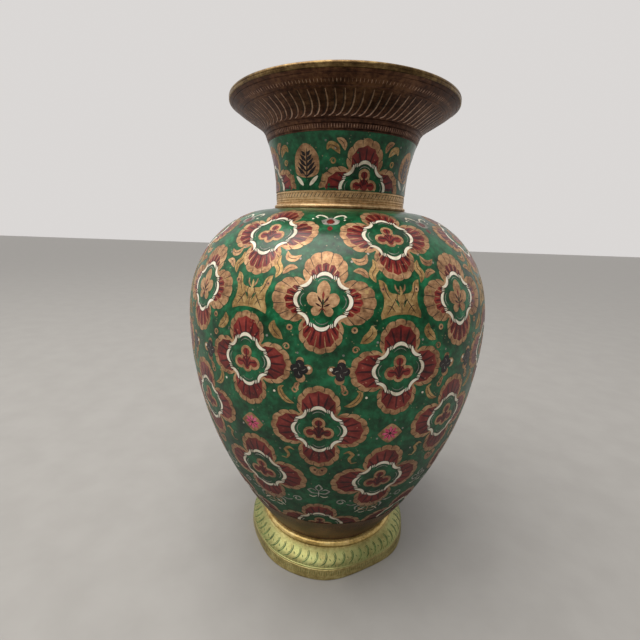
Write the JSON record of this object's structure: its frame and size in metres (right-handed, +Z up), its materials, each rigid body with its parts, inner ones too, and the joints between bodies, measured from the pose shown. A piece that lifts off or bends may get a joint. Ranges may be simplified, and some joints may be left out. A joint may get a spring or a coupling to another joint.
{
  "type": "enamelled brass vase",
  "caption": "Free-standing metal vase with a trumpet mouth, collared neck, high-shouldered ovoid body let in with coloured lac, and a spreading hollow foot.",
  "frame": {"origin": "centre of the flat ring that the vase stands on", "axes": "+Z up along the vase's axis of turning; +X and +Y level"},
  "size_m": [0.1812, 0.1812, 0.28],
  "materials": {
    "bright_brass": "polished, worn, lightly tarnished",
    "dark_brass": "dark brown patina, engraved",
    "inner_brass": "as made, dull oxide",
    "green_lac": "glossy coloured resin let into the brass, with red, white, black and pink fields",
    "spelter": "dull grey brazed joint"
  },
  "bodies": {
    "root": {"lip_ring": "bright_brass", "mouth_flare": "dark_brass", "flare_joint_lap": "spelter", "neck_sleeve": "dark_brass", "neck_enamel": "green_lac", "neck_collar": "bright_brass", "neck_solder": "spelter", "shoulder_shell": "dark_brass", "belly_shell": "dark_brass", "body_enamel": "green_lac", "body_joint_lap": "spelter", "base_plate": "inner_brass", "foot_collar": "bright_brass", "foot_skirt": "bright_brass", "foot_solder": "spelter"}
  },
  "joints": []
}
